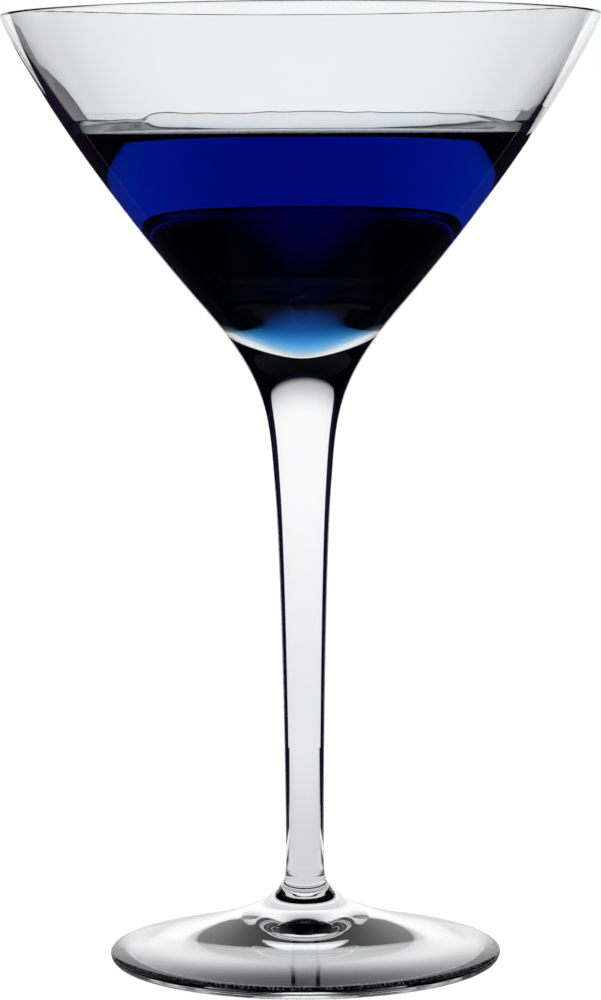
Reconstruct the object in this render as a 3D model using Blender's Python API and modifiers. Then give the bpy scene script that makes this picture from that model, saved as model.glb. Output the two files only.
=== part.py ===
"""Blue cocktail in a stemmed cocktail glass.

Two solids, both turned about the upright axis through the middle of the foot:
the glass (bowl, stem and foot are one piece of glass) and the drink that stands
in its bowl. The origin is on the table, at the centre of the foot, with +Z up.
"""

import math

import bpy
import numpy as np

MM = 0.001

# The glass as a whole.
GLASS_HEIGHT = 172.0 * MM
RIM_RADIUS = 53.9 * MM
FOOT_RADIUS = 35.7 * MM

# The foot: a shallow cone on a flat ring, hollow underneath.
EDGE_MIDDLE = 1.5 * MM          # height of the widest line of the foot's edge
EDGE_TOP = 2.3 * MM
EDGE_SHOULDER = 1.0 * MM        # how far the edge's top stands in from the widest line
REST_OUTER_RADIUS = 34.3 * MM
REST_INNER_RADIUS = 32.3 * MM
HOLLOW_HEIGHT = 5.5 * MM
COLLAR_RADIUS = 8.6 * MM
COLLAR_HEIGHT = 10.1 * MM
EDGE_SLOPE = 13.5               # degrees, the foot's top near its edge
COLLAR_SLOPE = 23.0             # degrees, the foot's top near the collar

# The stem: slightly thicker towards the bowl.
FLARE_RADIUS = 5.6 * MM         # half-way up the flare over the collar
FLARE_HEIGHT = 12.4 * MM
STEM_WAIST = 18.0 * MM
STEM_WAIST_RADIUS = 3.48 * MM
STEM_TOP = 86.0 * MM
STEM_TOP_RADIUS = 5.1 * MM
STEM_TOP_LEAN = 4.2             # degrees off upright, opening upwards

# The bowl's outside.
BOWL_FOOT_RADIUS = 18.4 * MM    # where the flare from the stem becomes the bowl's wall
BOWL_FOOT_HEIGHT = 120.0 * MM
BOWL_LEAN = 41.2                # degrees off upright, low on the bowl
RIM_LEAN = 16.0                 # degrees off upright, at the rim

# The bowl's wall and the space inside it.
RIM_WALL = 1.0 * MM
LOW_WALL = 3.0 * MM             # where the floor begins
WALL_TAPER = 0.75               # share of the thickening that is even from the rim down
FLOOR_START = 124.0 * MM        # height of the outer wall where the inside turns to the floor
CAVITY_BOTTOM = 112.8 * MM
FLOOR_TURN = 1.0 * MM           # how tightly the wall turns into the floor
FLOOR_ROUNDING = 5.5 * MM       # roundness of the floor's middle

# The drink.
DRINK_LEVEL = 150.1 * MM
DRINK_GAP = 0.3 * MM            # clearance to the glass

TURN_STEPS = 48


def bezier(start, start_tangent, end, end_tangent, count):
    """Cubic curve in the (radius, height) plane, as `count` points without its start.

    A tangent is the step from an end point to the handle beside it, taken along the
    direction of travel at both ends."""
    t = np.linspace(0.0, 1.0, count + 1)[1:, None]
    p0 = np.array(start)
    p3 = np.array(end)
    p1 = p0 + np.array(start_tangent)
    p2 = p3 - np.array(end_tangent)
    return (1 - t) ** 3 * p0 + 3 * (1 - t) ** 2 * t * p1 + 3 * (1 - t) * t ** 2 * p2 + t ** 3 * p3


def downward(lean_degrees, length):
    """Step of a given length down a wall that leans outwards as it rises."""
    lean = math.radians(lean_degrees)
    return (-length * math.sin(lean), -length * math.cos(lean))


def outward(slope_degrees, length):
    """Step of a given length down a slope that falls away from the axis."""
    slope = math.radians(slope_degrees)
    return np.array([length * math.cos(slope), -length * math.sin(slope)])


def wall_thickness(height):
    """The wall thickens from the rim down to the floor, faster as it goes."""
    share = (GLASS_HEIGHT - height) / (GLASS_HEIGHT - FLOOR_START)
    return RIM_WALL + (LOW_WALL - RIM_WALL) * (WALL_TAPER * share + (1 - WALL_TAPER) * share ** 2)


def bowl_outside(count):
    """Outer wall of the bowl, from just under the rim down to the flare of the stem."""
    start = (RIM_RADIUS, GLASS_HEIGHT - RIM_WALL / 2)
    end = (BOWL_FOOT_RADIUS, BOWL_FOOT_HEIGHT)
    curve = bezier(start, downward(RIM_LEAN, 7.0 * MM), end, downward(BOWL_LEAN, 25.5 * MM), count)
    return np.vstack([start, curve])


def bowl_inside(count, inset=0.0):
    """Inner wall of the bowl, from under the rim down to the middle of its floor.

    It is the outer wall moved along its own normal by the wall's thickness, then one
    curve to the middle of the floor. An inset moves it further in, as for the drink."""
    outer = bowl_outside(240)
    step = np.gradient(outer, axis=0)
    step /= np.linalg.norm(step, axis=1)[:, None]
    inward = np.column_stack([step[:, 1], -step[:, 0]])
    thickness = wall_thickness(outer[:, 1]) + inset
    wall = outer + inward * thickness[:, None]
    last = np.count_nonzero(outer[:, 1] > FLOOR_START) - 1
    chosen = np.linspace(0, last, count + 1).round().astype(int)
    floor = bezier(wall[last], step[last] * FLOOR_TURN, (0.0, CAVITY_BOTTOM + inset),
                   (-FLOOR_ROUNDING, 0.0), 8)
    return np.vstack([wall[chosen], floor])


def rim_edge(count):
    """Round-over of the rim, from the inner wall across to the outer wall."""
    inner = bowl_inside(24)[0]
    outer = bowl_outside(24)[0]
    middle = (inner + outer) / 2
    half = np.linalg.norm(outer - inner) / 2
    top = GLASS_HEIGHT - middle[1]
    turn = np.linspace(math.pi, 0.0, count + 2)[1:-1]
    return np.column_stack([middle[0] + half * np.cos(turn), middle[1] + top * np.sin(turn)])


def foot_hollow(count):
    """Underside of the foot: a low dome, steepest where it leaves the flat resting ring."""
    share = np.linspace(1.0, 0.0, count + 1)[1:]
    radius = REST_INNER_RADIUS * share
    height = HOLLOW_HEIGHT * (1.0 - share ** 1.6)
    return np.column_stack([radius, height])


def glass_profile():
    """Closed half outline of the glass, down its outside and then up through the bowl."""
    collar_slope = outward(COLLAR_SLOPE, 1.0)
    edge_slope = outward(EDGE_SLOPE, 1.0)
    diagonal = outward(45.0, 1.0)
    stem_top = (STEM_TOP_RADIUS, STEM_TOP)
    waist = (STEM_WAIST_RADIUS, STEM_WAIST)
    flare = (FLARE_RADIUS, FLARE_HEIGHT)
    collar = (COLLAR_RADIUS, COLLAR_HEIGHT)
    edge_top = (FOOT_RADIUS - EDGE_SHOULDER, EDGE_TOP)
    edge_middle = (FOOT_RADIUS, EDGE_MIDDLE)
    rest_outer = (REST_OUTER_RADIUS, 0.0)
    bowl_foot = (BOWL_FOOT_RADIUS, BOWL_FOOT_HEIGHT)
    outside = [
        bowl_outside(12),
        bezier(bowl_foot, downward(BOWL_LEAN, 18.6 * MM),
               stem_top, downward(STEM_TOP_LEAN, 14.6 * MM), 9),
        bezier(stem_top, downward(STEM_TOP_LEAN, 12.0 * MM), waist, (0.0, -20.0 * MM), 5),
        bezier(waist, (0.0, -4.1 * MM), flare, diagonal * 1.7 * MM, 6),
        bezier(flare, diagonal * 1.7 * MM, collar, collar_slope * 0.7 * MM, 4),
        bezier(collar, collar_slope * 8.6 * MM, edge_top, edge_slope * 12.3 * MM, 5),
        bezier(edge_top, edge_slope * 0.5 * MM, edge_middle, (0.0, -0.4 * MM), 3),
        bezier(edge_middle, (0.0, -0.8 * MM), rest_outer, (-0.7 * MM, 0.0), 4),
    ]
    underside = [[(REST_INNER_RADIUS, 0.0)], foot_hollow(8)]
    inside = [bowl_inside(12)[::-1], rim_edge(5)]
    return np.vstack(outside + underside), np.vstack(inside)


def drink_profile():
    """Half outline of the drink: its flat top, then down the wall to the middle."""
    wall = bowl_inside(40, inset=DRINK_GAP)
    below = wall[wall[:, 1] < DRINK_LEVEL]
    edge_radius = np.interp(DRINK_LEVEL, wall[::-1, 1], wall[::-1, 0])
    thinned = np.vstack([below[1:-8:3], below[-8:]])
    return np.vstack([(0.0, DRINK_LEVEL), (edge_radius, DRINK_LEVEL), thinned])


def turned(name, outline, collection, material):
    """Object turned from an open outline that starts and ends on the axis."""
    mesh = bpy.data.meshes.new(name)
    points = [(float(radius), 0.0, float(height)) for radius, height in outline]
    links = [(i, i + 1) for i in range(len(points) - 1)]
    mesh.from_pydata(points, links, [])
    mesh.materials.append(material)
    obj = bpy.data.objects.new(name, mesh)
    collection.objects.link(obj)
    turn = obj.modifiers.new("Turn", "SCREW")
    turn.angle = 2 * math.pi
    turn.steps = TURN_STEPS
    turn.render_steps = TURN_STEPS
    turn.use_smooth_shade = True
    turn.use_merge_vertices = True
    turn.merge_threshold = 0.00001
    return obj


def plain_material(name, colour, roughness, transmission, ior):
    """Clear or tinted see-through material."""
    material = bpy.data.materials.new(name)
    material.use_nodes = True
    shader = material.node_tree.nodes["Principled BSDF"]
    shader.inputs["Base Color"].default_value = (*colour, 1.0)
    shader.inputs["Roughness"].default_value = roughness
    shader.inputs["Metallic"].default_value = 0.0
    shader.inputs["Transmission Weight"].default_value = transmission
    shader.inputs["IOR"].default_value = ior
    return material


for old in list(bpy.data.objects):
    bpy.data.objects.remove(old, do_unlink=True)

cocktail = bpy.data.collections.new("blue_cocktail")
bpy.context.scene.collection.children.link(cocktail)

clear_glass = plain_material("clear_glass", (0.95, 0.96, 0.96), 0.02, 1.0, 1.52)
blue_liquid = plain_material("blue_liquid", (0.0, 0.01, 0.22), 0.02, 0.6, 1.35)

outer_line, inner_line = glass_profile()
glass = turned("glass", np.vstack([inner_line, outer_line]), cocktail, clear_glass)
drink = turned("blue_drink", drink_profile(), cocktail, blue_liquid)
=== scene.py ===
import math

import bpy
import numpy as np
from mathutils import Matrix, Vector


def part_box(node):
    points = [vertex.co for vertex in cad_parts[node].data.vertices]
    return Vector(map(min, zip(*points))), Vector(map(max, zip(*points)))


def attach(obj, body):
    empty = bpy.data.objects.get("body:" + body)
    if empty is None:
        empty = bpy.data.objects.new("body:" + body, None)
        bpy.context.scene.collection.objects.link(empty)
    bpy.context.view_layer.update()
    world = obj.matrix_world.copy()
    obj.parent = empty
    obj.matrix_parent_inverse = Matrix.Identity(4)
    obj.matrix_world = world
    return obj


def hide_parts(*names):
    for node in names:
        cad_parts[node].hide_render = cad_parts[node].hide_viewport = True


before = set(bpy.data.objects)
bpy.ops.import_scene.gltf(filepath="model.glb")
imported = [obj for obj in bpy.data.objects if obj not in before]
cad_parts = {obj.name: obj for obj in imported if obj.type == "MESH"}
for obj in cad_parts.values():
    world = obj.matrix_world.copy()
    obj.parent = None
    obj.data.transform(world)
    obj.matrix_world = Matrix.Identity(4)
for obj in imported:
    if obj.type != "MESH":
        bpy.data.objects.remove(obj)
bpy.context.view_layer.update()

# ------------------------------------------------------------------------------ glass
# One piece of clear glass, turned: a blown bowl that thins towards the rim, a drawn
# stem, and a pressed foot that is hollow underneath and rests on a flat ground ring.

MM = 0.001
glass_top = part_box("glass")[1]
drink_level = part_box("blue_drink")[1].z
glass_height = glass_top.z
rim_radius = glass_top.x
rim_lean = 16.0
rim_wall = 1.0 * MM
low_wall = 3.0 * MM
bowl_foot = (18.4 * MM, 120.0 * MM)
bowl_lean = 41.2
floor_start = 124.0 * MM
cavity_bottom = 112.8 * MM
glass_foot_radius = 35.7 * MM
rest_inner_radius = 32.3 * MM
hollow_height = 5.5 * MM
glass_ior = 1.52
liquid_ior = 1.35


def curve(start, start_step, end, end_step, count):
    """Cubic curve in the (radius, height) plane: count points, without its start.

    The two steps are those from each end to its handle, along the way of travel."""
    t = np.linspace(0.0, 1.0, count + 1)[1:, None]
    start, end = np.array(start), np.array(end)
    near, far = start + start_step, end - np.array(end_step)
    return (1 - t) ** 3 * start + 3 * (1 - t) ** 2 * t * near + 3 * (1 - t) * t ** 2 * far + t ** 3 * end


def step_down(lean, length):
    """Step down a wall that leans outwards by so many degrees as it rises."""
    return -length * np.array([math.sin(math.radians(lean)), math.cos(math.radians(lean))])


def step_out(slope, length):
    """Step away from the axis down a slope of so many degrees."""
    return length * np.array([math.cos(math.radians(slope)), -math.sin(math.radians(slope))])


def inward_normal(path):
    """Unit normals of a path that runs down a wall or inwards, pointing into the bowl."""
    along = np.gradient(path, axis=0)
    along /= np.linalg.norm(along, axis=1)[:, None]
    return np.column_stack([along[:, 1], -along[:, 0]])


def bowl_outside(count):
    """Outer wall of the bowl, from under the rim down to where the stem's flare begins."""
    start = (rim_radius, glass_height - 0.25 * MM)
    rim_step, foot_step = step_down(rim_lean, 7.0 * MM), step_down(bowl_lean, 25.5 * MM)
    return np.vstack([start, curve(start, rim_step, bowl_foot, foot_step, count)])


def bowl_inside(count, inset=0.0):
    """Inner wall from under the rim to the middle of the bowl's floor.

    It is the outer wall moved along its normal by a thickness that grows from the rim
    down, then one curve to the middle of the floor. inset moves all of it inwards."""
    outer = bowl_outside(count)
    inward = inward_normal(outer)
    share = (glass_height - outer[:, 1]) / (glass_height - floor_start)
    thickness = rim_wall + (low_wall - rim_wall) * (0.75 * share + 0.25 * share ** 2) + inset
    wall = outer + inward * thickness[:, None]
    kept = outer[:, 1] > floor_start
    down_wall = np.array([-inward[kept][-1, 1], inward[kept][-1, 0]]) * 1.0 * MM
    floor = curve(wall[kept][-1], down_wall, (0.0, cavity_bottom + inset), (-5.5 * MM, 0.0),
                  count // 3)
    return np.vstack([wall[kept], floor])


def rim_edge(count):
    """Half round from the top of the inner wall over to the top of the outer wall."""
    inner, outer = bowl_inside(120)[0], bowl_outside(120)[0]
    middle = (inner + outer) / 2
    half = np.linalg.norm(outer - inner) / 2
    turn = np.linspace(math.pi, 0.0, count + 2)[1:-1]
    top = glass_height - middle[1]
    return np.column_stack([middle[0] + half * np.cos(turn), middle[1] + top * np.sin(turn)])


def foot_hollow(count):
    """Underside of the foot: a low dome, steepest where it leaves the flat resting ring."""
    share = np.linspace(1.0, 0.0, count + 1)[1:]
    return np.column_stack([rest_inner_radius * share, hollow_height * (1.0 - share ** 1.6)])


def inside_from_floor():
    """The bowl's inside from its floor up to the rim, with a point at the drink's level."""
    inside = bowl_inside(84)[::-1]
    level_radius = np.interp(drink_level, inside[:, 1], inside[:, 0])
    row = np.searchsorted(inside[:, 1], drink_level)
    return np.insert(inside, row, (level_radius, drink_level), axis=0)


def glass_outline():
    """Half outline of the glass from the bowl's floor up, over the rim and down outside."""
    stem_top = (5.1 * MM, 86.0 * MM)
    waist = (3.48 * MM, 18.0 * MM)
    flare = (5.6 * MM, 12.4 * MM)
    collar = (8.6 * MM, 10.1 * MM)
    edge = (glass_foot_radius, 1.5 * MM)
    edge_top = (glass_foot_radius - 1.0 * MM, 2.3 * MM)
    rest_outer = (34.3 * MM, 0.0)
    return np.vstack([
        inside_from_floor(),
        rim_edge(13),
        bowl_outside(84),
        curve(bowl_foot, step_down(bowl_lean, 18.6 * MM), stem_top, step_down(4.2, 14.6 * MM), 50),
        curve(stem_top, step_down(4.2, 12.0 * MM), waist, (0.0, -20.0 * MM), 26),
        curve(waist, (0.0, -4.1 * MM), flare, step_out(45.0, 1.7 * MM), 24),
        curve(flare, step_out(45.0, 1.7 * MM), collar, step_out(23.0, 0.7 * MM), 14),
        curve(collar, step_out(23.0, 8.6 * MM), edge_top, step_out(13.5, 12.3 * MM), 30),
        curve(edge_top, step_out(13.5, 0.5 * MM), edge, (0.0, -0.4 * MM), 9),
        curve(edge, (0.0, -0.8 * MM), rest_outer, (-0.7 * MM, 0.0), 12),
        [(rest_inner_radius, 0.0)],
        foot_hollow(44),
    ])


def placed(name, vertices, faces, material):
    """An object at the origin with this mesh and material, its place in its vertices."""
    mesh = bpy.data.meshes.new(name)
    mesh.from_pydata(vertices, [], faces)
    mesh.materials.append(material)
    piece = bpy.data.objects.new(name, mesh)
    bpy.context.scene.collection.objects.link(piece)
    return piece


def turned_piece(name, radius, height, material):
    """Closed surface of revolution from rows of points.

    Row j is the ring radius[j], height[j], one number for each point of the ring. The
    first and last rows are single points on the axis. Rows run up the inside and down
    the outside, so that faces point outwards."""
    rings, around = radius.shape
    angle = np.linspace(0.0, 2 * math.pi, around, endpoint=False)
    points = np.stack([radius * np.cos(angle), radius * np.sin(angle), height], axis=-1)
    vertices = np.vstack([points[0, :1], points[1:-1].reshape(-1, 3), points[-1, :1]])
    here = np.arange(around)
    after = np.roll(here, -1)
    row = 1 + around * np.arange(rings - 3)[:, None]
    quads = np.stack([row + here, row + around + here, row + around + after, row + after], axis=-1)
    top = np.column_stack([np.zeros(around, int), 1 + here, 1 + after])
    end = len(vertices) - 1
    low = end - around
    bottom = np.column_stack([low + here, np.full(around, end), low + after])
    faces = [*top.tolist(), *quads.reshape(-1, 4).tolist(), *bottom.tolist()]
    piece = placed(name, vertices, faces, material)
    piece.data.shade_smooth()
    return piece


class Shade:
    """One socket of a shader tree. Operators on it add the Math nodes they name."""

    def __init__(self, tree, socket=None):
        self.tree = tree
        self.socket = socket

    def node(self, kind, settings=None, output=0, **inputs):
        """Adds a node, sets its settings and then its sockets, and gives one output.

        A socket is given by its name, with _ for a space, or by n and its number."""
        made = self.tree.nodes.new(kind)
        for key, value in (settings or {}).items():
            setattr(made, key, value)
        for key, value in inputs.items():
            place = int(key[1:]) if key[1:].isdigit() else key.replace("_", " ")
            self.feed(made.inputs[place], value)
        return Shade(self.tree, made.outputs[output])

    def feed(self, into, value):
        """Links a Shade to a socket, or sets a plain value on it."""
        if isinstance(value, Shade):
            self.tree.links.new(value.socket, into)
        else:
            into.default_value = value

    def maths(self, operation, *values):
        """A Math node on these values."""
        inputs = {f"n{i}": value for i, value in enumerate(values)}
        return self.node("ShaderNodeMath", {"operation": operation}, **inputs)

    def __add__(self, other):
        return self.maths("ADD", self, other)

    __radd__ = __add__

    def __sub__(self, other):
        return self.maths("SUBTRACT", self, other)

    def __rsub__(self, other):
        return self.maths("SUBTRACT", other, self)

    def __mul__(self, other):
        return self.maths("MULTIPLY", self, other)

    __rmul__ = __mul__

    def __truediv__(self, other):
        return self.maths("DIVIDE", self, other)

    def band(self, low, high):
        """0 below low and 1 above high, smooth between them. low may be the higher one."""
        return self.node("ShaderNodeMapRange", {"interpolation_type": "SMOOTHSTEP"},
                         Value=self, From_Min=low, From_Max=high)


def new_material(name):
    """A material, its Principled shader and the Object coordinates as a Shade."""
    material = bpy.data.materials.new(name)
    material.use_nodes = True
    tree = material.node_tree
    place = Shade(tree).node("ShaderNodeTexCoord", output="Object")
    return material, tree.nodes["Principled BSDF"], place


def see_through(name, colour, ior):
    """A clear Principled material, with its shader and its Object coordinates."""
    material, shader, place = new_material(name)
    shader.inputs["Base Color"].default_value = (*colour, 1.0)
    shader.inputs["Roughness"].default_value = 0.0
    shader.inputs["Transmission Weight"].default_value = 1.0
    shader.inputs["IOR"].default_value = ior
    return material, shader, place


def clear_glass(name, ior):
    """Polished glass: a faint waviness all over, and fine wear on the resting ring."""
    material, shader, place = see_through(name, (0.996, 0.998, 0.998), ior)
    height = place.node("ShaderNodeSeparateXYZ", output="Z", Vector=place)
    scratches = place.node("ShaderNodeTexNoise", Vector=place, Scale=2600.0, Detail=3.0)
    ring_wear = height.band(0.5 * MM, 0.1 * MM) * scratches.band(0.45, 0.62)
    place.feed(shader.inputs["Roughness"], ring_wear * 0.3)
    waves = place.node("ShaderNodeTexNoise", Vector=place, Scale=42.0, Detail=1.0)
    wavy = place.node("ShaderNodeBump", Strength=0.25, Distance=0.05 * MM, Height=waves)
    place.feed(shader.inputs["Normal"], wavy)
    return material


def second_material(piece, material, where):
    """Gives a material to the faces whose middle passes the test where(radius, height)."""
    piece.data.materials.append(material)
    for face in piece.data.polygons:
        if where(math.hypot(face.center.x, face.center.y), face.center.z):
            face.material_index = 1


outline = glass_outline()
rings = np.repeat(outline[:, :, None], 200, axis=2)
glass = turned_piece("cocktail_glass", rings[:, 0], rings[:, 1], clear_glass("clear_glass", glass_ior))
wall_row = bowl_inside(84)[::-1]


def under_drink(radius, height):
    """True for a face of the bowl's inner wall that the drink lies against."""
    edge = np.interp(height, wall_row[:, 1], wall_row[:, 0])
    return cavity_bottom - 0.01 * MM < height < drink_level and radius < edge + 0.4 * MM


second_material(glass, clear_glass("wet_glass", glass_ior / liquid_ior), under_drink)
glass.visible_shadow = False
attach(glass, "root")
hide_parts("glass")

# ------------------------------------------------------------------------------ drink
# A deep blue liquid. Its surface is level and climbs the wall in a meniscus. Above that
# the last sip left a thin wet film on the wall, which thins to nothing at its upper edge.

into_wall = 0.12 * MM
film = 0.08 * MM
bead = 0.015 * MM
meniscus_reach = 2.4 * MM
meniscus_height = 1.3 * MM
wall_in = bowl_inside(300)
from_floor = wall_in[::-1]
normal_from_floor = inward_normal(wall_in)[::-1]


def on_wall(height, off):
    """Radius and height of the point at a height on the inner wall, moved off it inwards."""
    radius = np.interp(height, from_floor[:, 1], from_floor[:, 0])
    across = np.interp(height, from_floor[:, 1], normal_from_floor[:, 0])
    up = np.interp(height, from_floor[:, 1], normal_from_floor[:, 1])
    return radius + off * across, height + off * up


def film_top(angle):
    """Height of the wet film above the level, round the bowl: slow waves and two steps."""
    waves = 0.22 * np.sin(2 * angle + 0.6) + 0.14 * np.sin(5 * angle + 2.1) + 0.08 * np.sin(11 * angle)
    ripple = 0.05 * np.sin(29 * angle + 1.0) + 0.03 * np.sin(47 * angle)
    steps = 0.55 * np.tanh((angle - math.radians(232)) / 0.035)
    steps = steps - 0.55 * np.tanh((angle - math.radians(322)) / 0.08)
    return (3.1 + waves + ripple + steps) * MM


def meniscus_path():
    """From the flat surface up to the film: one curve that ends along the wall."""
    start = np.array([on_wall(drink_level, 0.0)[0] - meniscus_reach, drink_level])
    joint = np.array(on_wall(drink_level + meniscus_height, film))
    lean = np.array(on_wall(drink_level + meniscus_height + 0.1 * MM, film)) - joint
    lean = lean / np.linalg.norm(lean)
    return curve(start, (1.7 * MM, 0.0), joint, lean * 0.8 * MM, 26)


def drink_rings(around):
    """Rings of the drink: out over its surface, up the meniscus and film, down the wall.

    Each is a radius and a height for every angle. The film is film thick and a little
    more near its top, times 1 - part ** 2, where part runs from 0 at the meniscus to 1."""
    angle = np.linspace(0.0, 2 * math.pi, around, endpoint=False)
    even = np.zeros(around)
    top = film_top(angle)
    flat_radius = on_wall(drink_level, 0.0)[0] - meniscus_reach
    rows = [(share * flat_radius + even, drink_level + even) for share in np.linspace(0.0, 1.0, 12)]
    rows += [(radius + even, height + even) for radius, height in meniscus_path()]
    for part in np.linspace(0.0, 1.0, 22)[1:]:
        up = drink_level + meniscus_height + (top - meniscus_height) * part
        swell = bead * np.exp(-((drink_level + top - up - 0.35 * MM) / (0.2 * MM)) ** 2)
        rows.append(on_wall(up, (film + swell) * (1 - part ** 2)))
    rows.append(on_wall(drink_level + top + 0.05 * MM, -into_wall))
    rows += [on_wall(drink_level + top * part, -into_wall) for part in (0.99, 0.66, 0.33)]
    low_part = wall_in[:, 1].min() + 12.0 * MM
    for height in np.linspace(drink_level, low_part, 56):
        rows.append(on_wall(height + even, -into_wall))
    floor = bowl_inside(300, inset=-into_wall)
    floor = floor[floor[:, 1] < low_part - 0.3 * MM][::6]
    rows += [(radius + even, height + even) for radius, height in floor]
    rows.append((even, floor[-1, 1] + even))
    return np.array([radius for radius, _ in rows]), np.array([height for _, height in rows])


def blue_liquid(name, ior):
    """Clear liquid whose colour comes from its depth, with a barely moving surface."""
    material, shader, place = see_through(name, (1.0, 1.0, 1.0), ior)
    ripple = place.node("ShaderNodeTexNoise", Vector=place, Scale=30.0, Detail=1.0)
    moving = place.node("ShaderNodeBump", Strength=0.15, Distance=0.03 * MM, Height=ripple)
    place.feed(shader.inputs["Normal"], moving)
    depth = place.node("ShaderNodeVolumeAbsorption", Color=(0.0, 0.595, 0.886, 1.0), Density=210.0)
    place.feed(material.node_tree.nodes["Material Output"].inputs["Volume"], depth)
    return material


def in_the_wall(radius, height):
    """True for a face of the drink that lies in the glass, below the level."""
    edge = np.interp(height, wall_row[:, 1], wall_row[:, 0])
    return height < drink_level - 0.001 * MM and radius > edge - 0.02 * MM


drink = turned_piece("blue_liquid", *drink_rings(360), blue_liquid("blue_liquid", liquid_ior))
second_material(drink, blue_liquid("drink_in_glass", 1.0), in_the_wall)
drink.visible_shadow = False
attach(drink, "root")
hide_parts("blue_drink")

# ------------------------------------------------------------------- camera and table
# The camera is about as high as the drink and looks slightly down. The glass stands on
# a wide pale table, and one broad lamp overhead lights it.

camera = bpy.data.objects.new("camera", bpy.data.cameras.new("camera"))
bpy.context.scene.collection.objects.link(camera)
bpy.context.scene.camera = camera
camera.data.lens = 130.3
camera.data.sensor_width = 36.0
camera.data.clip_start = 0.01
camera.location = (-0.00017, -0.65543, 0.1429)
camera.rotation_euler = (math.radians(90.0 - 5.1), math.radians(0.3), 0.0)


def square_sheet(name, reach, height, material):
    """A level square that reaches so far each way from the axis."""
    corners = [(-reach, -reach, height), (reach, -reach, height), (reach, reach, height),
               (-reach, reach, height)]
    return placed(name, corners, [(0, 1, 2, 3)], material)


table_material, table_shader, _ = new_material("pale_table")
table_shader.inputs["Base Color"].default_value = (0.9, 0.9, 0.9, 1.0)
table_shader.inputs["Roughness"].default_value = 0.9
table_shader.inputs["Specular IOR Level"].default_value = 0.0
table = square_sheet("table", 6.0, -0.2 * MM, table_material)
table.visible_transmission = False
table.visible_glossy = False

lamp = bpy.data.objects.new("overhead", bpy.data.lights.new("overhead", "SUN"))
lamp.data.energy = 3.9
lamp.data.angle = math.radians(60.0)
lamp.visible_transmission = False
lamp.visible_glossy = False
bpy.context.scene.collection.objects.link(lamp)

# ----------------------------------------------------------------------------- studio
# What the glass sees and the camera doesn't: a dome, bright behind the glass with dark
# sides and a dark ceiling, a lit table, and cards that draw the edges of bowl and foot.
# All of it turns on the glass's axis to face the camera.

studio = bpy.data.objects.new("studio", None)
bpy.context.scene.collection.objects.link(studio)
turn = studio.constraints.new("LOCKED_TRACK")
turn.target = camera
turn.track_axis = "TRACK_NEGATIVE_Y"
turn.lock_axis = "LOCK_Z"
dome_radius = 0.3
dome_height = 0.09


def in_studio(piece):
    """Makes a piece turn with the studio, where only glass and drink see it."""
    piece.parent = studio
    piece.visible_camera = False
    piece.visible_diffuse = False
    piece.visible_shadow = False


def glow_material(name):
    """An empty material and the x, y and z of its Object coordinates as Shades."""
    material = bpy.data.materials.new(name)
    material.use_nodes = True
    tree = material.node_tree
    tree.nodes.clear()
    place = Shade(tree).node("ShaderNodeTexCoord", output="Object")
    axes = [place.node("ShaderNodeSeparateXYZ", output=axis, Vector=place) for axis in "XYZ"]
    return material, *axes


def give_off(shader):
    """Makes a Shade the surface of its material."""
    output = shader.tree.nodes.new("ShaderNodeOutputMaterial")
    shader.feed(output.inputs["Surface"], shader)


def glow(light):
    """Gives off the light of a Shade, and a faint violet where that is dark."""
    lit = light.node("ShaderNodeEmission", Strength=light)
    faint = light.node("ShaderNodeEmission", Color=(0.3, 0.25, 1.0, 1.0), Strength=0.014)
    give_off(light.node("ShaderNodeAddShader", n0=lit, n1=faint))


def backdrop_light():
    """Light of the dome: a bright field behind the glass that dims upwards, dark elsewhere."""
    material, x, y, z = glow_material("backdrop_light")
    across = x.maths("ARCTAN2", x, y) * math.degrees(1.0)
    up = z.maths("ARCSINE", z / dome_radius) * math.degrees(1.0)
    left = across.band(-42.5, -41.0)
    right = across.band(42.5, 41.0)
    top = (up + across * 0.06).band(44.0, 33.5) * (1.03 - 0.51 * up.band(12.0, 38.0))
    glow(left * right * top * (1.0 - 0.16 * up.band(0.0, -17.5)))
    return material


def table_light():
    """Light of the table as glass sees it: bright behind the foot, fanning out, dark before it."""
    material, x, y, _ = glow_material("table_light")
    behind = y.band(-25.0 * MM, 0.0)
    left = (x + y * 0.62 + 0.045).band(0.0, 0.025)
    right = (x - y * 0.62 - 0.045).band(0.0, -0.025)
    glow(behind * left * right * (0.71 + 0.16 * y.band(0.08, 0.29)))
    return material


def card_material(name, colour, strength):
    """A card that gives off the same light all over."""
    material, x, _, _ = glow_material(name)
    give_off(x.node("ShaderNodeEmission", Color=(*colour, 1.0), Strength=strength))
    return material


rise = np.linspace(math.pi / 2, -math.pi / 2, 65)
dome_rings = dome_radius * np.repeat(np.stack([np.cos(rise), np.sin(rise)])[:, :, None], 96, axis=2)
dome = turned_piece("backdrop", *dome_rings, backdrop_light())
dome.location.z = dome_height
in_studio(dome)

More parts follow.
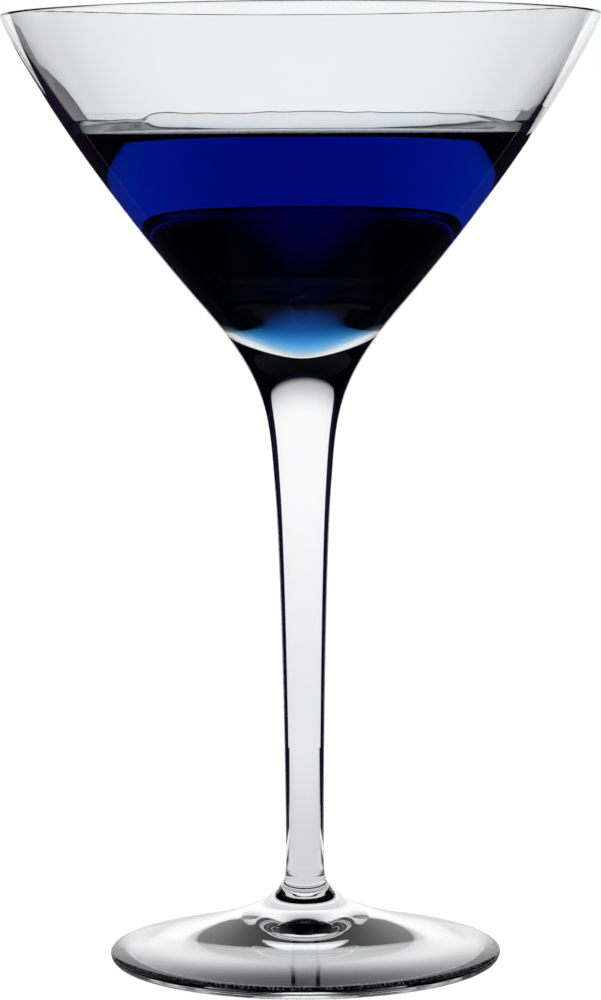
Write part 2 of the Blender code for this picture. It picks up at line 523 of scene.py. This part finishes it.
# The two black cards are upright and stand edge-on to the axis, 42 degrees to each side.
# Their corners are given as distance from the axis and height, in millimetres.
# The black cards, and the roofs over the white cards below, give off a faint violet light, which tints
# the dark edges of glass and drink navy.
black = card_material("black_card", (0.55, 0.4, 1.0), 0.02)
card_turn = 42.0
card_outside = [(14, 88), (60, 60), (100, 40), (150, 15), (200, -1), (290, -1)]
card_inside = [(68, 142), (64, 132), (50, 118), (36, 108), (20, 98)]
left_top = [(290, 125), (112, 145), (108, 150), (107, 164), (95, 164), (93, 154), (86, 155),
            (78, 153), (74, 150)]
right_top = [(290, 110), (112, 131), (102, 136), (90, 142), (74, 146)]
for card_name, side, card_top in (("left_card", -1, left_top), ("right_card", 1, right_top)):
    aside = side * math.sin(math.radians(card_turn)) * MM
    away = math.cos(math.radians(card_turn)) * MM
    card_edge = card_outside + card_top + card_inside
    corners = [(out * aside, out * away, height * MM) for out, height in card_edge]
    in_studio(placed(card_name, corners, [tuple(range(len(corners)))], black))

# A low white card stands to each side of the foot, under a black roof that hides it from
# the bowl.
white = card_material("white_card", (1.0, 1.0, 1.0), 1.0)
for side in (-1, 1):
    x = side * 85 * MM
    corners = [(x, -20 * MM, 0), (x, 95 * MM, 0), (x, 95 * MM, 8 * MM), (x, -20 * MM, 9 * MM)]
    in_studio(placed("white_card", corners, [(0, 1, 2, 3)], white))
    near, far, high = side * 58 * MM, side * 87 * MM, 9.5 * MM
    corners = [(near, -30 * MM, high), (near, 62 * MM, high), (far, 95 * MM, high),
               (far, -30 * MM, high)]
    in_studio(placed("card_roof", corners, [(0, 1, 2, 3)], black))

in_studio(square_sheet("lit_table", dome_radius, -0.4 * MM, table_light()))

# --------------------------------------------------------------------------- the room
# White all round for the camera. Glass and drink see only the studio.

world = bpy.data.worlds.new("white_room")
bpy.context.scene.world = world
world.use_nodes = True
world.node_tree.nodes["Background"].inputs["Color"].default_value = (1.0, 1.0, 1.0, 1.0)
world.cycles_visibility.diffuse = False
world.cycles_visibility.glossy = False
world.cycles_visibility.transmission = False
world.cycles_visibility.scatter = False
bpy.context.scene.view_settings.view_transform = "Standard"
